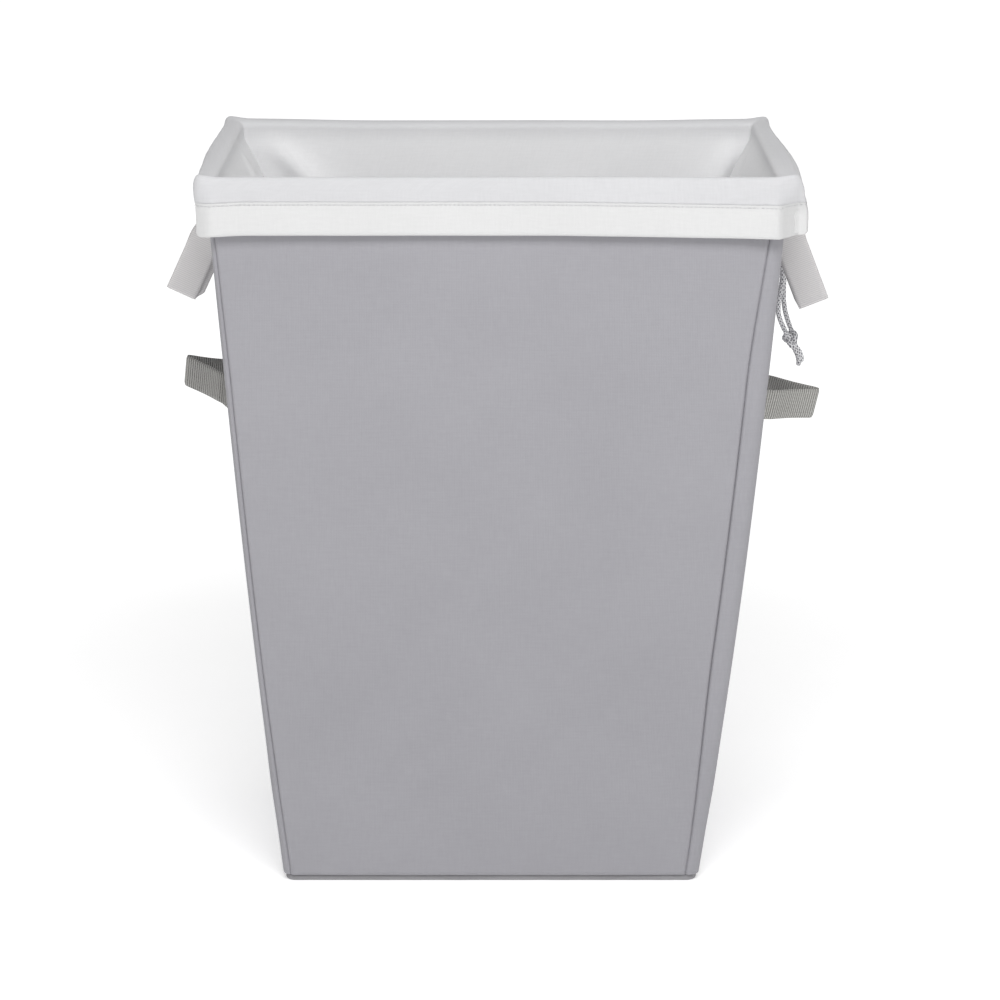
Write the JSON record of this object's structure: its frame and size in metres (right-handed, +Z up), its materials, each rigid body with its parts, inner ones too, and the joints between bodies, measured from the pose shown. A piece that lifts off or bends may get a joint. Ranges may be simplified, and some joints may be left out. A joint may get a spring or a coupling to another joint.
{
  "type": "fabric laundry hamper",
  "caption": "Free-standing tapered box of board-stiffened cloth with an open top and a lift-out drawstring bag turned over its rim, with webbing handles at the sides",
  "frame": {"origin": "centre of the underside of the base, on the floor", "axes": "+Z up, the wide front faces -Y, +X is the viewer's right, the side with the drawstring's ends"},
  "size_m": [0.5358, 0.309, 0.586],
  "materials": {
    "shell_fabric": "matt grey woven polyester cloth",
    "board": "uncoated grey-brown board",
    "lining": "thin grey non-woven lining",
    "binding": "folded bias tape",
    "bag_cloth": "light grey plain-weave polyester cloth",
    "hem_cloth": "white plain-weave cloth",
    "cord": "braided light grey cord",
    "handle_webbing": "ribbed mid grey webbing",
    "strap_webbing": "smooth light grey webbing"
  },
  "bodies": {
    "hamper": {"front_cover": "shell_fabric", "rear_cover": "shell_fabric", "left_cover": "shell_fabric", "right_cover": "shell_fabric", "base_cover": "shell_fabric", "front_board": "board", "rear_board": "board", "left_front_board": "board", "left_rear_board": "board", "right_front_board": "board", "right_rear_board": "board", "base_board": "board", "front_lining": "lining", "rear_lining": "lining", "left_lining": "lining", "right_lining": "lining", "base_lining": "lining", "rim_binding": "binding", "base_welt": "binding", "left_handle_front_tab": "handle_webbing", "left_handle_rear_tab": "handle_webbing", "right_handle_front_tab": "handle_webbing", "right_handle_rear_tab": "handle_webbing"},
    "bag": {"bag_front": "bag_cloth", "bag_rear": "bag_cloth", "bag_left": "bag_cloth", "bag_right": "bag_cloth", "bag_bottom": "bag_cloth", "bag_front_cuff": "bag_cloth", "bag_rear_cuff": "bag_cloth", "bag_left_cuff": "bag_cloth", "bag_right_cuff": "bag_cloth", "bag_front_hem": "hem_cloth", "bag_rear_hem": "hem_cloth", "bag_left_hem": "hem_cloth", "bag_right_hem": "hem_cloth", "drawstring_ring": "cord", "drawstring_front_strand": "cord", "drawstring_rear_strand": "cord", "drawstring_knot": "cord", "left_strap_front_root": "strap_webbing", "left_strap_rear_root": "strap_webbing", "right_strap_front_root": "strap_webbing", "right_strap_rear_root": "strap_webbing"},
    "left_handle_loop": {"left_handle": "handle_webbing"},
    "right_handle_loop": {"right_handle": "handle_webbing"},
    "left_strap_loop": {"left_strap": "strap_webbing"},
    "right_strap_loop": {"right_strap": "strap_webbing"}
  },
  "joints": [
    {"name": "bag_lift", "type": "slide", "parent": "hamper", "child": "bag", "axis": [0, 0, 1], "range_m": [0, 0.62]},
    {"name": "left_handle_swing", "type": "hinge", "parent": "hamper", "child": "left_handle_loop", "pos_m": [-0.2055, 0, 0.388], "axis": [0, 1, 0], "range_deg": [-55, 30], "deforming": ["left_handle_front_tab", "left_handle_rear_tab"]},
    {"name": "right_handle_swing", "type": "hinge", "parent": "hamper", "child": "right_handle_loop", "pos_m": [0.20495, 0, 0.382], "axis": [0, -1, 0], "range_deg": [-35, 51], "deforming": ["right_handle_front_tab", "right_handle_rear_tab"]},
    {"name": "left_strap_swing", "type": "hinge", "parent": "bag", "child": "left_strap_loop", "pos_m": [-0.2282, 0, 0.5405], "axis": [0, 1, 0], "range_deg": [-8, 100], "deforming": ["left_strap_front_root", "left_strap_rear_root"]},
    {"name": "right_strap_swing", "type": "hinge", "parent": "bag", "child": "right_strap_loop", "pos_m": [0.2282, 0, 0.5405], "axis": [0, -1, 0], "range_deg": [-8, 100], "deforming": ["right_strap_front_root", "right_strap_rear_root"]}
  ]
}
